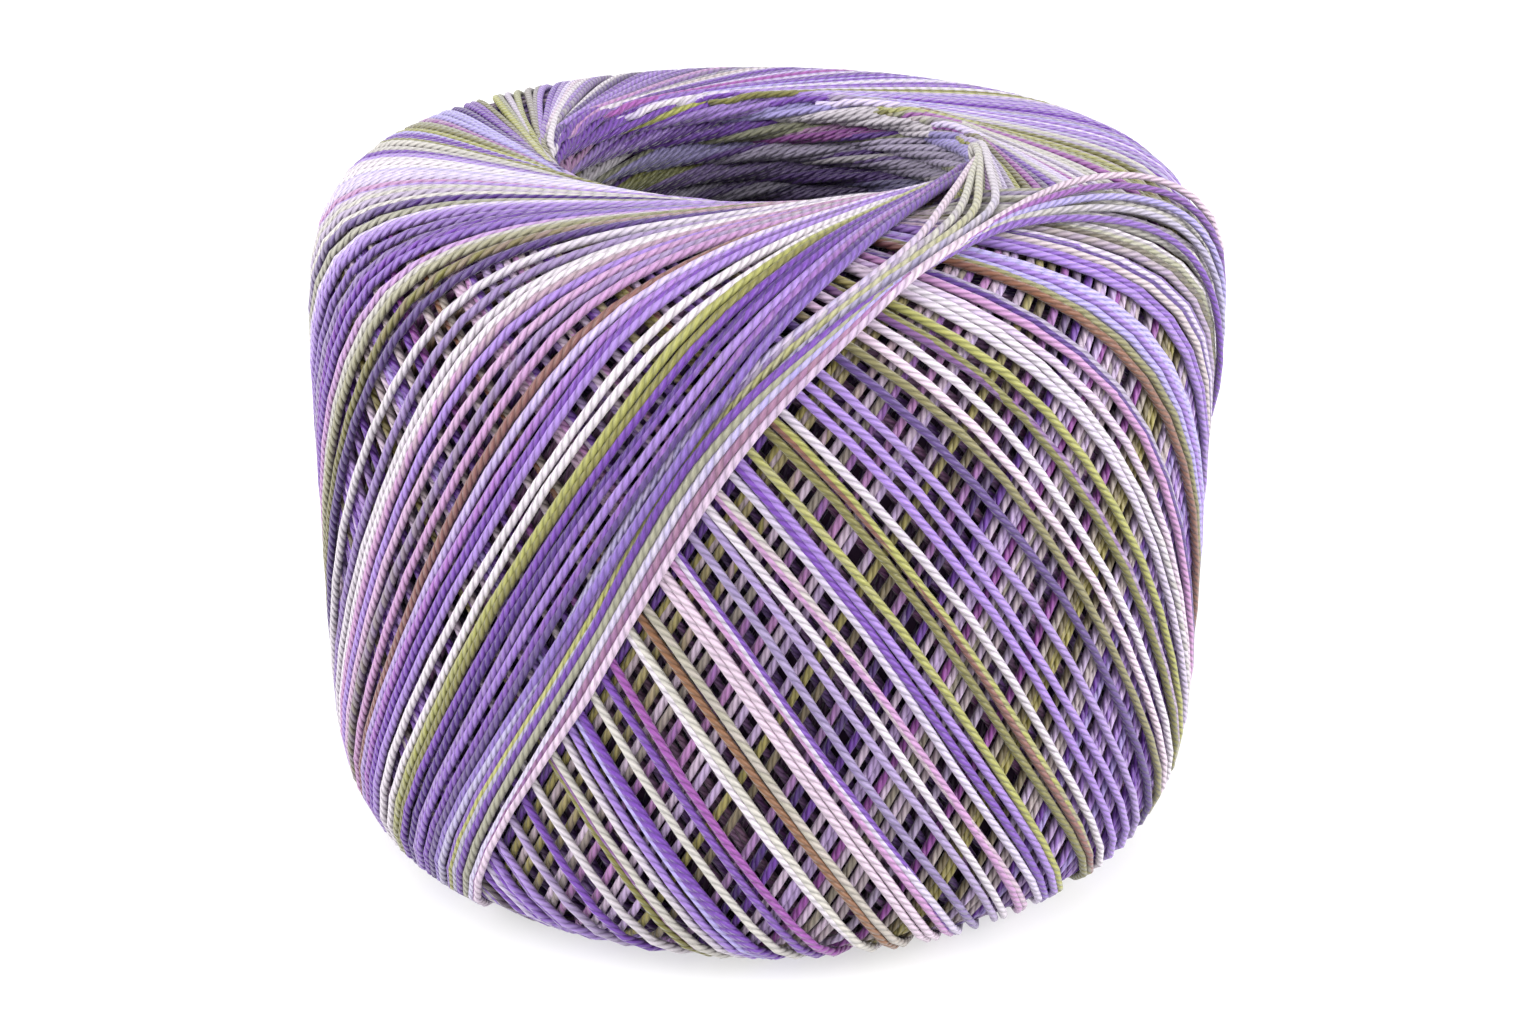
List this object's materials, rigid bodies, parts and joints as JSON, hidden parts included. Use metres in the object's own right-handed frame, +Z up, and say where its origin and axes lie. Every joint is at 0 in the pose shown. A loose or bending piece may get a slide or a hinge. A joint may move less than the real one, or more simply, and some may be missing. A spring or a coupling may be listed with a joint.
{
  "type": "yarn cake",
  "caption": "Cake of variegated crochet thread, wound in tilted crossing loops round an open centre hole, violet, white and olive.",
  "frame": {"origin": "on the axis of the hole, in the plane the cake stands on", "axes": "+Z up along the axis of the hole, -Y towards the front, +X to the right"},
  "size_m": [0.0656, 0.0649, 0.0521],
  "materials": {
    "thread": "satin"
  },
  "bodies": {
    "root": {"yarn_cake": "thread"}
  },
  "joints": []
}
